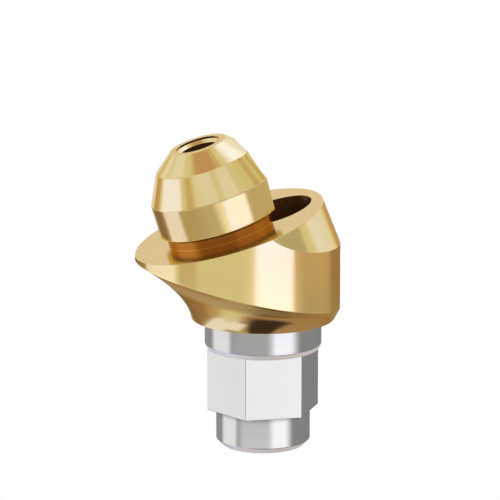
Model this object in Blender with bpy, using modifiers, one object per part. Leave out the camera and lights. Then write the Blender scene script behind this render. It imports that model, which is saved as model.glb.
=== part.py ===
"""Angled dental abutment, one turned and milled piece of titanium alloy.

The frame: millimetre sizes held in metres, +Z along the implant's axis, and the origin on that axis at the
plane where the shoulder seats on the implant. The head leans towards -X, and the piece is the same on both
sides of the XZ plane.
"""
import bpy
import bmesh
from math import cos, pi, radians, sin, tan
from mathutils import Matrix, Vector

MM = 0.001

# Connection, below the seating plane
SEAT_DIAMETER = 3.50 * MM
COLLAR_DIAMETER = 2.85 * MM
COLLAR_LENGTH = 0.755 * MM
COLLAR_CHAMFER = 0.03 * MM
COLLAR_CHAMFER_LENGTH = 0.12 * MM
HEX_ACROSS_FLATS = 2.40 * MM
HEX_LENGTH = 1.535 * MM
FOOT_DIAMETER = 2.30 * MM
FOOT_LENGTH = 0.90 * MM
FOOT_CHAMFER = 0.15 * MM

# Gum-side body: a flare that grows from the round seat into an oval wall
LEAN = radians(17.0)
WALL_LENGTH = 4.98 * MM
WALL_WIDTH = 4.84 * MM
WALL_OFFSET = 0.63 * MM
FLARE_HEIGHT = 0.71 * MM
FLARE_SLOPE = radians(14.0)
FLARE_POWER = 1.75

# Platform and head, measured along the head's own axis
AXES_MEET_BELOW_SEAT = 0.93 * MM
PLATFORM_DIAMETER = 5.00 * MM
PLATFORM_DRAFT = radians(4.6)
PLATFORM_DISTANCE = 3.323 * MM
NECK_DIAMETER = 2.78 * MM
NECK_HEIGHT = 0.275 * MM
HEAD_DIAMETER = 3.03 * MM
HEAD_BAND_HEIGHT = 0.79 * MM
CONE_HEIGHT = 0.705 * MM
CONE_TOP_DIAMETER = 2.36 * MM
CROWN_HEIGHT = 0.415 * MM
CROWN_TOP_DIAMETER = 1.40 * MM

# Threaded hole for the prosthetic screw
SCREW_HOLE_DIAMETER = 0.90 * MM
SCREW_HOLE_DEPTH = 1.05 * MM
SCREW_HOLE_MOUTH_DIAMETER = 1.07 * MM
SCREW_HOLE_MOUTH_DEPTH = 0.085 * MM
DRILL_POINT = radians(59.0)

# Access channel for the screw that holds the abutment
CHANNEL_DIAMETER = 1.88 * MM
CHANNEL_OFFSET = 0.235 * MM
CHANNEL_FLOOR = 0.35 * MM
POCKET_DIAMETER = 1.88 * MM
POCKET_TOP = 0.95 * MM
POCKET_FLOOR = -0.25 * MM
BORE_DIAMETER = 1.60 * MM
BORE_EXIT_CHAMFER = 0.06 * MM

# How far a tool solid runs into, or past, what it joins or cuts
OVERRUN = 0.30 * MM
MERGE = 0.0000005

FACETS = 72
BORE_FACETS = 48
FLARE_RINGS = 8
SHARP_EDGE = radians(20)

# Derived sizes
hex_circumradius = HEX_ACROSS_FLATS / 2 / cos(pi / 6)
collar_underside = -COLLAR_LENGTH
hex_underside = collar_underside - HEX_LENGTH
foot_end = hex_underside - FOOT_LENGTH
head_pivot = Vector((0, 0, -AXES_MEET_BELOW_SEAT))
head_underside = PLATFORM_DISTANCE + NECK_HEIGHT
band_top = head_underside + HEAD_BAND_HEIGHT
cone_top = band_top + CONE_HEIGHT
head_top = cone_top + CROWN_HEIGHT


def clear_scene():
    """Start from nothing, so that the script gives the same model each time."""
    for thing in list(bpy.data.objects):
        bpy.data.objects.remove(thing, do_unlink=True)


def new_collection(name):
    group = bpy.data.collections.new(name)
    bpy.context.scene.collection.children.link(group)
    return group


def turned(name, group, profile, facets):
    """A solid of revolution from (radius, height) points that run from the top, down the outside."""
    mesh = bpy.data.meshes.new(name)
    points = [(radius, 0, height) for radius, height in profile]
    mesh.from_pydata(points, [(i, i + 1) for i in range(len(points) - 1)], [])
    solid = bpy.data.objects.new(name, mesh)
    group.objects.link(solid)
    screw = solid.modifiers.new("turn", "SCREW")
    screw.axis = "Z"
    screw.angle = 2 * pi
    screw.steps = facets
    screw.render_steps = facets
    screw.use_merge_vertices = True
    screw.merge_threshold = MERGE
    return solid


def combine(solid, tool, operation, solver="EXACT"):
    """Join, cut or intersect with another solid."""
    boolean = solid.modifiers.new(tool.name, "BOOLEAN")
    boolean.operation = operation
    boolean.object = tool
    boolean.solver = solver


def finished(solid):
    """Apply the modifiers, then shade the round faces smooth between sharp edges."""
    evaluated = solid.evaluated_get(bpy.context.evaluated_depsgraph_get())
    mesh = bpy.data.meshes.new_from_object(evaluated)
    solid.modifiers.clear()
    solid.data = mesh
    mesh.shade_smooth()
    mesh.set_sharp_from_angle(angle=SHARP_EDGE)


def as_tool(solid):
    """A tool solid shapes the part, and isn't part of it."""
    solid.hide_render = True
    solid.display_type = "WIRE"
    return solid


def lean_on_head_axis(solid):
    """Put a solid that was made about Z onto the head's leaning axis."""
    solid.location = head_pivot
    solid.rotation_euler = (0, -LEAN, 0)
    return solid


def connection_blank(group):
    """Foot and collar, turned about the implant's axis; the hexagon is joined to it later."""
    collar = COLLAR_DIAMETER / 2
    foot = FOOT_DIAMETER / 2
    profile = [
        (0, OVERRUN),
        (collar, OVERRUN),
        (collar, collar_underside + COLLAR_CHAMFER_LENGTH),
        (collar - COLLAR_CHAMFER, collar_underside),
        (foot, collar_underside),
        (foot, foot_end + FOOT_CHAMFER),
        (foot - FOOT_CHAMFER, foot_end),
        (0, foot_end),
    ]
    return turned("abutment_body", group, profile, FACETS)


def hexagon(group):
    """The anti-rotation hexagon, with a corner towards the lean."""
    top = collar_underside + COLLAR_CHAMFER_LENGTH / 2
    height = top - hex_underside
    mesh = bpy.data.meshes.new("hexagon")
    prism = bpy.data.objects.new("hexagon", mesh)
    group.objects.link(prism)
    shape = bmesh.new()
    bmesh.ops.create_cone(
        shape, cap_ends=True, segments=6, radius1=hex_circumradius, radius2=hex_circumradius, depth=height,
        matrix=Matrix.Translation((0, 0, hex_underside + height / 2)) @ Matrix.Rotation(pi / 6, 4, "Z"))
    shape.to_mesh(mesh)
    shape.free()
    return as_tool(prism)


def flared_wall(group):
    """Loft from the round seat to the oval wall, whose lower edge lies in a leaning plane."""
    seat = SEAT_DIAMETER / 2
    wall_top = PLATFORM_DISTANCE + PLATFORM_DIAMETER
    shape = bmesh.new()
    rings = []
    for step in range(FLARE_RINGS + 2):
        rise = min(step / FLARE_RINGS, 1)
        spread = rise ** FLARE_POWER
        ring = []
        for facet in range(FACETS):
            turn = 2 * pi * facet / FACETS
            wall_x = -WALL_OFFSET + WALL_LENGTH / 2 * cos(turn)
            wall_y = WALL_WIDTH / 2 * sin(turn)
            edge = FLARE_HEIGHT - wall_x * tan(FLARE_SLOPE)
            x = seat * cos(turn) * (1 - spread) + wall_x * spread
            y = seat * sin(turn) * (1 - spread) + wall_y * spread
            z = edge * rise if step <= FLARE_RINGS else wall_top
            ring.append(shape.verts.new((x, y, z)))
        rings.append(ring)
    for lower, upper in zip(rings, rings[1:]):
        for k in range(FACETS):
            n = (k + 1) % FACETS
            shape.faces.new((lower[k], lower[n], upper[n], upper[k]))
    shape.faces.new(reversed(rings[0]))
    shape.faces.new(rings[-1])
    mesh = bpy.data.meshes.new("flared_wall")
    shape.to_mesh(mesh)
    shape.free()
    solid = bpy.data.objects.new("flared_wall", mesh)
    group.objects.link(solid)
    return as_tool(solid)


def platform_cone(group):
    """The leaning cone whose flat top is the platform."""
    depth = PLATFORM_DISTANCE + PLATFORM_DIAMETER
    rim = PLATFORM_DIAMETER / 2
    profile = [
        (0, PLATFORM_DISTANCE),
        (rim, PLATFORM_DISTANCE),
        (rim + depth * tan(PLATFORM_DRAFT), PLATFORM_DISTANCE - depth),
        (0, PLATFORM_DISTANCE - depth),
    ]
    return as_tool(lean_on_head_axis(turned("platform_cone", group, profile, FACETS)))


def head(group):
    """Neck, straight band, cone and crown, turned about the leaning axis."""
    neck = NECK_DIAMETER / 2
    band = HEAD_DIAMETER / 2
    profile = [
        (0, head_top),
        (CROWN_TOP_DIAMETER / 2, head_top),
        (CONE_TOP_DIAMETER / 2, cone_top),
        (band, band_top),
        (band, head_underside),
        (neck, head_underside),
        (neck, PLATFORM_DISTANCE - OVERRUN),
        (0, PLATFORM_DISTANCE - OVERRUN),
    ]
    return as_tool(lean_on_head_axis(turned("head", group, profile, FACETS)))


def screw_hole(group):
    """Blind hole with a countersunk mouth and a drill's point, on the leaning axis."""
    mouth = SCREW_HOLE_MOUTH_DIAMETER / 2
    hole = SCREW_HOLE_DIAMETER / 2
    mouth_slope = (mouth - hole) / SCREW_HOLE_MOUTH_DEPTH
    floor = head_top - SCREW_HOLE_DEPTH
    profile = [
        (0, head_top + OVERRUN),
        (mouth + OVERRUN * mouth_slope, head_top + OVERRUN),
        (hole, head_top - SCREW_HOLE_MOUTH_DEPTH),
        (hole, floor),
        (0, floor - hole / tan(DRILL_POINT)),
    ]
    return as_tool(lean_on_head_axis(turned("screw_hole", group, profile, BORE_FACETS)))


def access_channel(group):
    """Upper channel, beside the implant's axis and away from the lean, so that it spares the head."""
    radius = CHANNEL_DIAMETER / 2
    top = head_top + OVERRUN
    profile = [(0, top), (radius, top), (radius, CHANNEL_FLOOR), (0, CHANNEL_FLOOR)]
    cutter = turned("access_channel", group, profile, BORE_FACETS)
    cutter.location = (CHANNEL_OFFSET, 0, 0)
    return as_tool(cutter)


def holding_screw_bore(group):
    """Pocket for the holding screw's head, its conical seat, and the bore out through the foot."""
    pocket = POCKET_DIAMETER / 2
    bore = BORE_DIAMETER / 2
    profile = [
        (0, POCKET_TOP),
        (pocket, POCKET_TOP),
        (pocket, POCKET_FLOOR),
        (bore, POCKET_FLOOR - (pocket - bore)),
        (bore, foot_end + BORE_EXIT_CHAMFER),
        (bore + BORE_EXIT_CHAMFER + OVERRUN, foot_end - OVERRUN),
        (0, foot_end - OVERRUN),
    ]
    return as_tool(turned("holding_screw_bore", group, profile, BORE_FACETS))


def titanium(name, colour, roughness):
    """Plain stand-in for the finish; the looks are made elsewhere."""
    material = bpy.data.materials.new(name)
    material.use_nodes = True
    shader = material.node_tree.nodes["Principled BSDF"]
    shader.inputs["Base Color"].default_value = (*colour, 1)
    shader.inputs["Metallic"].default_value = 1
    shader.inputs["Roughness"].default_value = roughness
    return material


def build():
    clear_scene()
    parts = new_collection("dental_abutment")
    tools = new_collection("shaping_tools")

    body = connection_blank(parts)
    gum_side = flared_wall(tools)
    combine(gum_side, platform_cone(tools), "INTERSECT")
    for solid in (hexagon(tools), gum_side, head(tools)):
        combine(body, solid, "UNION")
    # The exact solver leaves the channel's core standing in the platform's leaning plane
    for cutter in (access_channel(tools), holding_screw_bore(tools), screw_hole(tools)):
        combine(body, cutter, "DIFFERENCE", solver="MANIFOLD")

    finished(body)
    body.data.materials.clear()
    body.data.materials.append(titanium("gold_coated_titanium", (0.72, 0.50, 0.20), 0.15))


build()
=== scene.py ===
from math import atan2, cos, pi, radians, sin, tan
import bpy
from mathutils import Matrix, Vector


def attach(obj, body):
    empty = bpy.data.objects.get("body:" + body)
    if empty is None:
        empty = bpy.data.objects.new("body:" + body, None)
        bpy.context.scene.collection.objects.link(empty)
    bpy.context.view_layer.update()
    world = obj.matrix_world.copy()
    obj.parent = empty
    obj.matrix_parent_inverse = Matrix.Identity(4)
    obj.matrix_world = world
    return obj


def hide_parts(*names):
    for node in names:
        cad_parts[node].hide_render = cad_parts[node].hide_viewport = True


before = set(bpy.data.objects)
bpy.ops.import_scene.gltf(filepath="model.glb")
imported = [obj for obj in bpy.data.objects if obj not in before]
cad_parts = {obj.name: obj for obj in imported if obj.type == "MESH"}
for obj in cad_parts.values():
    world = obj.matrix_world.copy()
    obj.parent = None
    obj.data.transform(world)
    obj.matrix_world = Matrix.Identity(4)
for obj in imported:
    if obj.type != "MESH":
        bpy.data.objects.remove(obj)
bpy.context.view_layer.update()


# The camera: a long lens a little above the part, which is turned twelve degrees away from the
# side view, so that the head leans to the left and a little towards the viewer.
TURN = radians(12)
PITCH = radians(13.19)
camera_data = bpy.data.cameras.new("camera")
camera_data.lens = 252
camera_data.sensor_width = 36
camera_data.clip_start = 0.01
camera_data.clip_end = 5
camera = bpy.data.objects.new("camera", camera_data)
camera.location = (-0.017506, -0.080828, 0.021038)
camera.rotation_euler = (radians(90) - PITCH, 0, -TURN)
bpy.context.scene.collection.objects.link(camera)
bpy.context.scene.camera = camera
bpy.context.scene.view_settings.view_transform = "Standard"


# The studio: a window-like panel to the left, a bright key panel to the front right, a pale
# ceiling and a warm brown floor, which the polished part mirrors. Seen past the part,
# everything is white.
class Wire:
    """A number or a colour on a node's socket, which Python's operators can work on."""

    def __init__(self, tree, socket):
        self.tree = tree
        self.socket = socket

    def maths(self, operation, *values):
        inputs = dict(enumerate((self, *values)))
        return node(self.tree, "ShaderNodeMath", {"operation": operation}, inputs)

    def __add__(self, other):
        return self.maths("ADD", other)

    def __sub__(self, other):
        return self.maths("SUBTRACT", other)

    def __mul__(self, other):
        return self.maths("MULTIPLY", other)

    def __truediv__(self, other):
        return self.maths("DIVIDE", other)

    def __rsub__(self, other):
        return node(self.tree, "ShaderNodeMath", {"operation": "SUBTRACT"}, {0: other, 1: self})

    __radd__ = __add__
    __rmul__ = __mul__

    def rise(self, middle, width):
        """0 below the middle and 1 above it, with a soft step of this width."""
        limits = {"Value": self, "From Min": middle - width / 2, "From Max": middle + width / 2}
        return node(self.tree, "ShaderNodeMapRange", {"interpolation_type": "SMOOTHSTEP"}, limits)

    def within(self, low, high, width):
        """1 between the two limits and 0 outside them, with soft steps of this width."""
        return self.rise(low, width) * (1 - self.rise(high, width))

    def blend(self, first, second):
        """The first colour where this number is 0, and the second where it is 1."""
        inputs = {0: self, 6: first, 7: second}
        return node(self.tree, "ShaderNodeMix", {"data_type": "RGBA"}, inputs, 2)

    def feed(self, shader, name):
        """Link this to an input of the shader."""
        self.tree.links.new(self.socket, shader.inputs[name])


def node(tree, kind, settings, values, out=0):
    """Add a node, set it up, fill or link its inputs, and give back one of its outputs."""
    made = tree.nodes.new(kind)
    for name, value in settings.items():
        setattr(made, name, value)
    for name, value in values.items():
        if isinstance(value, Wire):
            value.feed(made, name)
        elif isinstance(value, tuple) and len(made.inputs[name].default_value) == 4:
            made.inputs[name].default_value = (*value, 1)
        else:
            made.inputs[name].default_value = value
    return Wire(tree, made.outputs[out]) if made.outputs else None


world = bpy.data.worlds.new("studio")
world.use_nodes = True
bpy.context.scene.world = world
studio = world.node_tree
studio.nodes.clear()

# Where a ray goes, in degrees: its bearing, 0 towards the viewer and 90 to the right, and its
# height over the horizon
direction = node(studio, "ShaderNodeTexCoord", {}, {}, "Generated")
turned_direction = node(
    studio, "ShaderNodeVectorRotate", {"rotation_type": "Z_AXIS"},
    {"Vector": direction, "Angle": TURN})
rightward, away, upward = [
    node(studio, "ShaderNodeSeparateXYZ", {}, {"Vector": turned_direction}, axis)
    for axis in range(3)]
towards = away * -1
bearing = rightward.maths("ARCTAN2", towards) * (180 / pi)
bearing_behind = bearing.maths("WRAP", 360.0, 0.0)
height = upward.maths("ARCSINE") * (180 / pi)

# Each panel: its colour, its two bearings, its two heights, and how soft its edges are across
# and up. The later ones lie over the earlier ones. Behind the part, bearings run on past 180.
BEHIND = 185
FLOOR_LINE = -18
WALL_COLOUR = (0.74, 0.74, 0.61)
FLOOR_COLOUR = (0.40, 0.27, 0.20)
CREAM = (0.91, 0.93, 1.38)
PANELS = (
    # Ceiling
    ((0.80, 0.81, 0.95), -44, 66, 22, 64, 8, 8),
    ((0.72, 0.72, 0.65), -1, 13, 26, 64, 6, 8),
    ((0.71, 0.71, 0.62), 46, 66, 26, 64, 8, 8),
    ((0.70, 0.68, 0.50), 66, 126, 16, 62, 8, 8),
    ((0.62, 0.50, 0.34), 90, 106, 24, 60, 6, 6),
    ((0.62, 0.50, 0.34), 116, 127, 16, 36, 5, 5),
    ((0.57, 0.39, 0.27), -94, -20, 56, 94, 14, 10),
    ((0.66, 0.52, 0.36), -20, 60, 80, 98, 20, 8),
    # Upper left
    ((0.83, 0.86, 1.04), -146, -92, 12, 54, 6, 8),
    ((0.89, 0.92, 1.22), -137, -126, 14, 34, 5, 6),
    ((0.78, 0.79, 0.80), -123, -114, 20, 44, 4, 6),
    ((0.58, 0.43, 0.29), -144, -122, -13, 4, 4, 6),
    ((1.01, 1.10, 1.88), -114, -67, -5, 14, 8, 6),
    ((0.92, 0.96, 1.40), -122, -72, -20, -6, 8, 5),
    ((0.62, 0.52, 0.36), -67, -45, -18, -4, 10, 6),
    ((0.63, 0.51, 0.36), -58, -43, 6, 25, 9, 6),
    # Back
    ((1.00, 1.08, 1.70), 118, 172, 36, 82, 10, 12),
    ((1.10, 1.26, 2.20), 125, 149, 42, 68, 8, 8),
    ((0.96, 1.06, 1.90), 152, 190, -1, 36, 5, 3),
    ((0.84, 0.86, 1.32), 180, 213, 8, 34, 8, 4),
    ((0.92, 0.97, 1.52), 178, 217, -12.2, 9, 5, 1.5),
    ((0.68, 0.66, 0.50), 209, 218, 4, 14, 6, 4),
    # Right
    ((0.57, 0.49, 0.37), 62, 130, -7, 3.5, 6, 2),
    ((0.62, 0.45, 0.31), 64, 185, -26, -5, 8, 3),
    ((0.39, 0.26, 0.19), 126, 185, -26, -9, 16, 4),
    ((0.60, 0.50, 0.40), 146, 178, -12, -2, 8, 3),
    # Front
    ((0.50, 0.42, 0.29), -74, 12, -38, -15.4, 8, 1.5),
    ((0.55, 0.48, 0.40), -30, 12, -30, -15.4, 16, 1.5),
    # Below, to the left
    ((0.36, 0.23, 0.18), -190, -126, -50, -14, 10, 8),
    ((0.27, 0.21, 0.185), -190, -126, -31, -12.6, 10, 1.5),
    ((0.55, 0.41, 0.29), -175, -120, -72, -48, 16, 10),
    (CREAM, -115, -69.5, -66, -17, 12, 8),
    (CREAM, -80, -42, -66, -38, 12, 6),
    ((0.72, 0.73, 0.72), -150, -80, -74, -58, 30, 8),
    # Key
    ((1.12, 1.20, 1.80), 22.5, 64, -20, 2, 9, 3),
    ((1.14, 1.18, 2.75), 20.5, 64, -21, -12.2, 9, 2.5),
    ((0.50, 0.48, 0.43), 48, 90, 2.5, 12, 8, 3),
)
room = height.rise(FLOOR_LINE, 3).blend(FLOOR_COLOUR, WALL_COLOUR)
for colour, start, end, low, high, soft_across, soft_up in PANELS:
    across = bearing_behind if end > BEHIND else bearing
    panel = across.within(start, end, soft_across) * height.within(low, high, soft_up)
    room = panel.blend(room, colour)

# A slanting panel to the right, which rises a degree for every five to the left, and over the
# key the unlit room, which rises to the right and is a little lighter in its middle
slanting = (bearing - 120) * 0.2 + height
slanting_panel = bearing.within(103, 144, 10) * slanting.within(2.4, 9, 2)
room = slanting_panel.blend(room, (0.88, 0.93, 1.35))
unlit = (height - bearing * 0.3).within(1, 20, 6) * height.rise(-8, 4)
room = (bearing.within(-60, 60, 10) * unlit).blend(room, (0.34, 0.26, 0.24))
room = (bearing.within(18, 60, 12) * unlit).blend(room, (0.62, 0.54, 0.66))

# The greys at the horizon, which only the upright faces of the connection mirror. Each: its
# grey, its two bearings, its upper edge, and how soft its ends are. They share a lower edge.
HORIZON = (
    (0.47, -190, 190, -14.28, 1),
    (1.30, -117, -68, -14.28, 18),
    (0.62, -64, 14, -14.28, 20),
    (0.98, -57, 14, -15.9, 22),
    (1.62, 17, 66.5, -14.28, 26),
    (0.39, 79, 190, -14.28, 10),
)
low_edge = bearing.within(-8, 16, 7) * 3 - bearing.rise(78, 10) * 7 - 20.5
for grey, start, end, high, soft_across in HORIZON:
    band = (height - low_edge).rise(0, 0.8) * (1 - height.rise(high, 0.4))
    room = (bearing.within(start, end, soft_across) * band).blend(room, (grey, grey, grey))

# A dark strip on the floor, from under the part towards the viewer. Its places are counted in
# heights of the part above the floor.
STRIP_COLOUR = (0.045, 0.031, 0.032)
depth = upward.maths("ABSOLUTE").maths("MAXIMUM", 0.05)
floor_right = rightward / depth
floor_near = towards / depth
strip = (floor_right + floor_near * 0.35).rise(-0.18, 0.2) * (1 - floor_right.rise(0.37, 0.2))
strip = strip * floor_near.rise(-0.06, 0.15) * (1 - height.rise(-28.5, 6))
room = strip.blend(room, STRIP_COLOUR)

WHITE = (1.0, 1.0, 1.0)
room_light = node(studio, "ShaderNodeBackground", {}, {"Color": room, "Strength": 1.0})
white = node(studio, "ShaderNodeBackground", {}, {"Color": WHITE, "Strength": 1.0})
seen = node(studio, "ShaderNodeLightPath", {}, {}, "Is Camera Ray")
backdrop = node(studio, "ShaderNodeMixShader", {}, {0: seen, 1: room_light, 2: white})
node(studio, "ShaderNodeOutputWorld", {}, {"Surface": backdrop})

# The floor is plain and pale, well below the part
FLOOR_DEPTH = 0.02
bpy.ops.object.select_all(action="DESELECT")
bpy.ops.mesh.primitive_plane_add(size=2, location=(0, 0, -FLOOR_DEPTH))
floor = bpy.context.object
floor.name = "floor"
floor.visible_glossy = False
floor_paint = bpy.data.materials.new("floor_paint")
floor_paint.use_nodes = True
paint = floor_paint.node_tree
paint.nodes.clear()
matt = node(paint, "ShaderNodeBsdfDiffuse", {}, {"Color": (0.85, 0.85, 0.85)})
glow = node(paint, "ShaderNodeEmission", {}, {"Color": WHITE, "Strength": 1.0})
seen = node(paint, "ShaderNodeLightPath", {}, {}, "Is Camera Ray")
painted = node(paint, "ShaderNodeMixShader", {}, {0: seen, 1: matt, 2: glow})
node(paint, "ShaderNodeOutputMaterial", {}, {"Surface": painted})
floor.data.materials.append(floor_paint)


# The connection: the end that drops into the implant, left as bare titanium. A collar and a
# plain foot are turned, and the hexagon between them is milled from the same bar.
MM = 0.001
SIDES = 360
EASED = 0.012 * MM
COLLAR_RADIUS = 1.425 * MM
COLLAR_END = -0.755 * MM
COLLAR_CHAMFER_WIDTH = 0.05 * MM
COLLAR_CHAMFER = 0.12 * MM
HEX_CORNER = 1.2 * MM / cos(pi / 6)
HEX_END = -2.29 * MM
FOOT_RADIUS = 1.15 * MM
FOOT_CHAMFER = 0.15 * MM
FOOT_END = -3.19 * MM
OVERLAP = 0.3 * MM
MERGED = 1e-8


def metal(name, colour, other_colour, edge_colour):
    """A polished metal whose colour is to drift a little from place to place."""
    finish = bpy.data.materials.new(name)
    finish.use_nodes = True
    tree = finish.node_tree
    shader = tree.nodes["Principled BSDF"]
    shader.inputs["Metallic"].default_value = 1
    shader.inputs["Specular Tint"].default_value = (*edge_colour, 1)
    place = node(tree, "ShaderNodeTexCoord", {}, {}, "Object")
    drift = node(tree, "ShaderNodeTexNoise", {}, {"Vector": place, "Scale": 900.0, "Detail": 3.0})
    return finish, tree, shader, place, drift.rise(0.5, 0.5).blend(colour, other_colour)


def tool_marks(tree, shader, along, spacing, depth):
    """Fine, uneven lines round the axis on which the metal was turned."""
    lines = node(
        tree, "ShaderNodeTexNoise", {"noise_dimensions": "1D"},
        {"W": along * (1 / spacing), "Detail": 1.0})
    marks = node(tree, "ShaderNodeBump", {}, {"Height": lines, "Distance": depth})
    marks.feed(shader, "Normal")
    return lines


# Polished, but duller on the chamfers, which are painted pale as a painted highlight, and darkened
# with painted shade in the corner under the hexagon
# A pale painted highlight on the chamfers, which are also duller
CHAMFER_PAINTED_HIGHLIGHT = (0.95, 0.93, 0.87)
PAINTED_SHADE_COLOUR = (0.34, 0.34, 0.34)
CHAMFER_EDGE = 0.006 * MM
PAINTED_SHADE_DEPTH = 0.07 * MM
PAINTED_SHADE_SOFTNESS = 0.12 * MM

titanium, tree, shader, place, base = metal(
    "bare_titanium", (0.58, 0.575, 0.57), (0.555, 0.55, 0.545), (0.8, 0.8, 0.8))
up_axis = node(tree, "ShaderNodeSeparateXYZ", {}, {"Vector": place}, 2)
chamfers = up_axis.within(COLLAR_END - 0.004 * MM, COLLAR_END + COLLAR_CHAMFER, CHAMFER_EDGE)
chamfers = chamfers + 1 - up_axis.rise(FOOT_END + FOOT_CHAMFER, CHAMFER_EDGE)
# Painted shade: darker grey in the corner under the hexagon, where shade falls
painted_shade = up_axis.within(HEX_END - PAINTED_SHADE_DEPTH, HEX_END, PAINTED_SHADE_SOFTNESS)
painted_shade.blend(chamfers.blend(base, CHAMFER_PAINTED_HIGHLIGHT), PAINTED_SHADE_COLOUR).feed(shader, "Base Color")
lines = tool_marks(tree, shader, up_axis, 0.05 * MM, 0.00006 * MM)
(lines * 0.025 + 0.02 + chamfers * 0.5).feed(shader, "Roughness")
(1 - chamfers * 0.7).feed(shader, "Metallic")


def turned(name, finish, rings, sides=SIDES):
    """Turn a solid on Z: a filled circle, extruded and resized ring by ring from the bottom up."""
    radius, height = rings[0]
    bpy.ops.object.select_all(action="DESELECT")
    bpy.ops.mesh.primitive_circle_add(
        vertices=sides, radius=radius, fill_type="NGON", location=(0, 0, height))
    solid = bpy.context.object
    solid.name = name
    solid.data.materials.append(finish)
    bpy.ops.object.transform_apply()
    bpy.ops.object.mode_set(mode="EDIT")
    bpy.ops.mesh.select_all(action="SELECT")
    for wider, higher in rings[1:]:
        bpy.ops.mesh.extrude_region_move(TRANSFORM_OT_translate={"value": (0, 0, higher - height)})
        grow = wider / radius
        bpy.ops.transform.resize(value=(grow, grow, 1), center_override=(0, 0, higher))
        radius, height = wider, higher
    bpy.ops.mesh.select_all(action="SELECT")
    bpy.ops.mesh.remove_doubles(threshold=MERGED)
    bpy.ops.mesh.normals_make_consistent(inside=False)
    bpy.ops.object.mode_set(mode="OBJECT")
    return solid


def ease_edges(solid):
    """Break every sharp edge, as a light polish does."""
    bpy.context.view_layer.objects.active = solid
    bpy.ops.object.mode_set(mode="EDIT")
    bpy.ops.mesh.select_all(action="DESELECT")
    bpy.ops.mesh.select_mode(type="EDGE")
    bpy.ops.mesh.edges_select_sharp(sharpness=radians(12))
    bpy.ops.mesh.bevel(offset=EASED, segments=2, affect="EDGES")
    bpy.ops.object.mode_set(mode="OBJECT")
    return solid


def machine(solid, tool, operation):
    """Join a solid to the work, or cut with it, and use it up. New faces keep the tool's finish."""
    boolean = solid.modifiers.new(tool.name, "BOOLEAN")
    boolean.operation = operation
    boolean.solver = "MANIFOLD"
    boolean.material_mode = "TRANSFER"
    boolean.object = tool
    bpy.context.view_layer.objects.active = solid
    bpy.ops.object.modifier_apply(modifier=boolean.name)
    bpy.data.objects.remove(tool)


abutment = ease_edges(turned("abutment", titanium, (
    (FOOT_RADIUS - FOOT_CHAMFER, FOOT_END),
    (FOOT_RADIUS, FOOT_END + FOOT_CHAMFER),
    (FOOT_RADIUS, COLLAR_END),
    (COLLAR_RADIUS - COLLAR_CHAMFER_WIDTH, COLLAR_END),
    (COLLAR_RADIUS, COLLAR_END + COLLAR_CHAMFER),
    (COLLAR_RADIUS, OVERLAP),
)))
hexagon = turned("hexagon", titanium, (
    (HEX_CORNER, HEX_END),
    (HEX_CORNER, COLLAR_END + 0.02 * MM),
), 6)
hexagon.rotation_euler.z = pi / 6
bpy.ops.object.transform_apply()
machine(abutment, ease_edges(hexagon), "UNION")


# The gum-side body: milled from the same bar, it flares from the round shoulder into an oval
# wall, and a leaning cone with a flat top cuts it off as the platform. From the shoulder up, the
# titanium has a thin gold-coloured coating, duller on the platform and under the flare.
LEAN = radians(17)
PIVOT = Vector((0, 0, -0.93 * MM))
HEAD_AXIS = Vector((-sin(LEAN), 0, cos(LEAN)))
SEAT_RADIUS = 1.75 * MM
WALL_LENGTH = 4.98 * MM
WALL_WIDTH = 4.84 * MM
WALL_OFFSET = 0.63 * MM
FLARE_HEIGHT = 0.71 * MM
FLARE_SLOPE = radians(14)
FLARE_POWER = 1.75
FLARE_POWER_RIGHT = 0.85
FLARE_START = 0.12
FLARE_STEPS = 60
FLARE_CROWDING = 1.5
PLATFORM = 3.323 * MM
PLATFORM_RADIUS = 2.5 * MM
PLATFORM_DRAFT = radians(4.6)
NECK_RADIUS = 1.39 * MM
HEAD_FOOT = PLATFORM + 0.275 * MM
# Painted shade and reflection on the neck, and a painted shadow under the head
NECK_SHADE_AND_REFLECTION_COLOUR = (0.55, 0.25, 0.07)
UNDERHEAD_SHADOW_COLOUR = (0.10, 0.035, 0.015)
SHARP = 0.004 * MM

coating, tree, shader, place, base = metal(
    "gold_coating", (0.91, 0.73, 0.33), (0.885, 0.705, 0.31), (0.90, 0.75, 0.45))
raised = node(tree, "ShaderNodeVectorMath", {"operation": "SUBTRACT"}, {0: place, 1: PIVOT})
along = node(
    tree, "ShaderNodeVectorMath", {"operation": "DOT_PRODUCT"}, {0: raised, 1: HEAD_AXIS}, "Value")
distance = node(tree, "ShaderNodeVectorMath", {"operation": "LENGTH"}, {0: raised}, "Value")
from_axis = (distance * distance - along * along).maths("SQRT")
place_x, place_z = [
    node(tree, "ShaderNodeSeparateXYZ", {}, {"Vector": place}, axis) for axis in (0, 2)]

# The neck's groove, in painted shade and a painted reflection of the gold, with a painted shadow
# darkest under the head
neck_shade = along.within(PLATFORM + SHARP, HEAD_FOOT + 0.02 * MM, SHARP)
neck_shade = neck_shade * (1 - from_axis.rise(NECK_RADIUS + 0.03 * MM, 0.02 * MM))
underhead_shadow = along.rise(HEAD_FOOT - 0.07 * MM, 0.07 * MM)
neck_shade.blend(base, underhead_shadow.blend(NECK_SHADE_AND_REFLECTION_COLOUR, UNDERHEAD_SHADOW_COLOUR)).feed(shader, "Base Color")

on_platform = along.within(PLATFORM - 0.006 * MM, PLATFORM + 0.006 * MM, 0.002 * MM)
up_flare = place_z / (FLARE_HEIGHT - place_x * tan(FLARE_SLOPE))
lines = tool_marks(tree, shader, along, 0.08 * MM, 0.0002 * MM)
roughness = lines * 0.02 + 0.09 + on_platform * 0.08 + neck_shade * 0.09
roughness = roughness + up_flare.within(0.04, 0.98, 0.04) * 0.05
roughness = roughness + up_flare.within(0.66, 0.98, 0.2) * 0.38
roughness.feed(shader, "Roughness")

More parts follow.
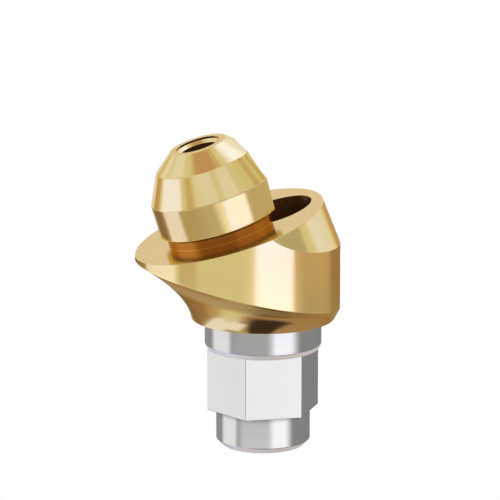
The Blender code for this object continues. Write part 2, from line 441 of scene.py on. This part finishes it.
# Turned as a plain bar, whose rings of corners then move out to the flare's shape, fuller on its
# low side. The last ring goes straight up, past the platform.
gum_side = turned("gum_side", coating, [
    (SEAT_RADIUS, step * MM) for step in range(FLARE_STEPS + 2)])
for corner in gum_side.data.vertices:
    step = round(corner.co.z / MM)
    rise = min(step / FLARE_STEPS, 1) ** FLARE_CROWDING
    angle = atan2(corner.co.y, corner.co.x)
    fuller = max(cos(angle), 0) ** 2
    power = FLARE_POWER + (FLARE_POWER_RIGHT - FLARE_POWER) * fuller
    spread = FLARE_START * rise + (1 - FLARE_START) * rise ** power
    wall_x = -WALL_OFFSET + WALL_LENGTH / 2 * cos(angle)
    wall_y = WALL_WIDTH / 2 * sin(angle)
    edge = FLARE_HEIGHT - wall_x * tan(FLARE_SLOPE)
    corner.co = (
        SEAT_RADIUS * cos(angle) * (1 - spread) + wall_x * spread,
        SEAT_RADIUS * sin(angle) * (1 - spread) + wall_y * spread,
        edge * rise if step <= FLARE_STEPS else 2 * PLATFORM)


def lean(solid):
    """Tip a solid that was turned on Z onto the head's leaning axis."""
    bpy.ops.object.select_all(action="DESELECT")
    solid.select_set(True)
    bpy.context.view_layer.objects.active = solid
    solid.rotation_euler = (0, -LEAN, 0)
    solid.location = PIVOT
    bpy.ops.object.transform_apply()
    return solid


cone_depth = 3 * PLATFORM
platform_cone = ease_edges(turned("platform_cone", coating, (
    (PLATFORM_RADIUS + cone_depth * tan(PLATFORM_DRAFT), PLATFORM - cone_depth),
    (PLATFORM_RADIUS, PLATFORM),
)))
machine(gum_side, lean(platform_cone), "INTERSECT")
machine(abutment, gum_side, "UNION")


# The head: neck, straight band, long cone and crown, turned about the leaning axis and coated.
# The coping sits over it, and its screw goes into the threaded hole in the top.
HEAD_RADIUS = 1.515 * MM
BAND_TOP = HEAD_FOOT + 0.79 * MM
CONE_TOP = BAND_TOP + 0.705 * MM
CONE_TOP_RADIUS = 1.18 * MM
HEAD_TOP = CONE_TOP + 0.415 * MM
HEAD_TOP_RADIUS = 0.70 * MM

head = ease_edges(turned("head", coating, (
    (NECK_RADIUS, PLATFORM - OVERLAP),
    (NECK_RADIUS, HEAD_FOOT),
    (HEAD_RADIUS, HEAD_FOOT),
    (HEAD_RADIUS, BAND_TOP),
    (CONE_TOP_RADIUS, CONE_TOP),
    (HEAD_TOP_RADIUS, HEAD_TOP),
)))
machine(abutment, lean(head), "UNION")


# The holes: a drilled and tapped hole in the head, and beside it the channel for the screw that
# holds the part, with the pocket for that screw's head and the bore that leads out through the
# foot. The drill leaves them duller, and little of the coating reaches into them; their brown is
# darkened with painted shade of the holes.
HOLE_SIDES = 128
HOLE_RADIUS = 0.45 * MM
HOLE_FLOOR = HEAD_TOP - 1.15 * MM
DRILL_POINT = radians(59)
DRILL_TIP = 0.02 * MM
MOUTH_RADIUS = 0.535 * MM
MOUTH_STEP = 0.048 * MM
MOUTH_DEPTH = 0.115 * MM
THREAD_START = HOLE_FLOOR + 0.15 * MM
THREAD_PITCH = 0.2 * MM
THREAD_DEPTH = 0.065 * MM
THREAD_TURNS = 4
CHANNEL_RADIUS = 0.94 * MM
CHANNEL_OFFSET = 0.235 * MM
CHANNEL_FLOOR = 0.35 * MM
CHANNEL_TOP = 6 * MM
SCREW_SEAT_TOP = -0.25 * MM
SCREW_SEAT_FOOT = -0.39 * MM
BORE_RADIUS = 0.80 * MM
BORE_CHAMFER = 0.16 * MM

# Brown from the little coating, darkened with painted shade of the holes
drilled, tree, shader, place, base = metal(
    "drilled_bore", (0.46, 0.27, 0.13), (0.36, 0.20, 0.10), (0.6, 0.45, 0.3))
base.feed(shader, "Base Color")
up_bore = node(tree, "ShaderNodeSeparateXYZ", {}, {"Vector": place}, 2)
lines = tool_marks(tree, shader, up_bore, 0.09 * MM, 0.001 * MM)
(lines * 0.12 + 0.28).feed(shader, "Roughness")

screw_hole = turned("screw_hole", drilled, (
    (DRILL_TIP, HOLE_FLOOR - HOLE_RADIUS / tan(DRILL_POINT)),
    (HOLE_RADIUS, HOLE_FLOOR),
    (HOLE_RADIUS, HEAD_TOP - MOUTH_STEP),
), HOLE_SIDES)
mouth = turned("mouth", coating, (
    (HOLE_RADIUS - MOUTH_STEP, HEAD_TOP - MOUTH_DEPTH - MOUTH_STEP),
    (MOUTH_RADIUS, HEAD_TOP - MOUTH_STEP),
    (MOUTH_RADIUS, HEAD_TOP + 0.1 * MM),
), HOLE_SIDES)

# The thread: a three-cornered ring, wound up the hole by the Screw modifier and closed at its ends
thread_middle = (HOLE_RADIUS, 0, THREAD_START)
bpy.ops.object.select_all(action="DESELECT")
bpy.ops.mesh.primitive_circle_add(
    vertices=3, radius=THREAD_DEPTH, rotation=(pi / 2, 0, 0), location=thread_middle)
thread = bpy.context.object
thread.name = "thread"
thread.data.materials.append(drilled)
bpy.ops.object.transform_apply()
bpy.ops.object.mode_set(mode="EDIT")
bpy.ops.mesh.select_all(action="SELECT")
bpy.ops.transform.rotate(value=-pi / 2, orient_axis="Y", center_override=thread_middle)
bpy.ops.object.mode_set(mode="OBJECT")
wound = thread.modifiers.new("wound", "SCREW")
wound.screw_offset = THREAD_PITCH
wound.iterations = THREAD_TURNS
wound.steps = wound.render_steps = 96
bpy.ops.object.modifier_apply(modifier=wound.name)
bpy.ops.object.mode_set(mode="EDIT")
bpy.ops.mesh.select_all(action="SELECT")
bpy.ops.mesh.fill_holes(sides=3)
bpy.ops.mesh.select_all(action="SELECT")
bpy.ops.mesh.normals_make_consistent(inside=False)
bpy.ops.object.mode_set(mode="OBJECT")

channel = turned("channel", drilled, (
    (CHANNEL_RADIUS, CHANNEL_FLOOR),
    (CHANNEL_RADIUS, CHANNEL_TOP),
))
channel.location.x = CHANNEL_OFFSET
bpy.ops.object.transform_apply()
bore = turned("bore", drilled, (
    (BORE_RADIUS + BORE_CHAMFER, FOOT_END - 0.1 * MM),
    (BORE_RADIUS, FOOT_END + 0.06 * MM),
    (BORE_RADIUS, SCREW_SEAT_FOOT),
    (CHANNEL_RADIUS, SCREW_SEAT_TOP),
    (CHANNEL_RADIUS, CHANNEL_FLOOR + 0.6 * MM),
))
for tool in (channel, bore, lean(mouth), lean(screw_hole), lean(thread)):
    machine(abutment, tool, "DIFFERENCE")


# The whole part: one piece of metal. The channel's cut through the head is polished and coated
# with it, and the shoulder's underside, which seats on the implant, is left bare.
WELD = 2e-7
ON_PLANE = 1e-7
BARE_BELOW = -0.4 * MM

bpy.ops.object.select_all(action="DESELECT")
abutment.select_set(True)
bpy.context.view_layer.objects.active = abutment
bpy.ops.object.mode_set(mode="EDIT")
bpy.ops.mesh.select_all(action="SELECT")
bpy.ops.mesh.remove_doubles(threshold=WELD)
bpy.ops.mesh.dissolve_degenerate(threshold=WELD)
bpy.ops.mesh.select_all(action="SELECT")
bpy.ops.mesh.normals_make_consistent(inside=False)
bpy.ops.object.mode_set(mode="OBJECT")

finishes = [slot.name for slot in abutment.data.materials]
bare, coated, bored = [finishes.index(finish.name) for finish in (titanium, coating, drilled)]
for face in abutment.data.polygons:
    if abs(face.center.z) < ON_PLANE:
        face.material_index = bare
    if face.material_index == bored and face.center.z < BARE_BELOW:
        face.material_index = bare
    if face.material_index == bored and (face.center - PIVOT).dot(HEAD_AXIS) > PLATFORM:
        from_channel = Vector((face.center.x - CHANNEL_OFFSET, face.center.y)).length
        if abs(from_channel - CHANNEL_RADIUS) < 0.001 * MM and abs(face.normal.z) < 0.01:
            face.material_index = coated

bpy.ops.object.shade_smooth_by_angle(angle=radians(5))

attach(abutment, "root")
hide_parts("abutment_body")
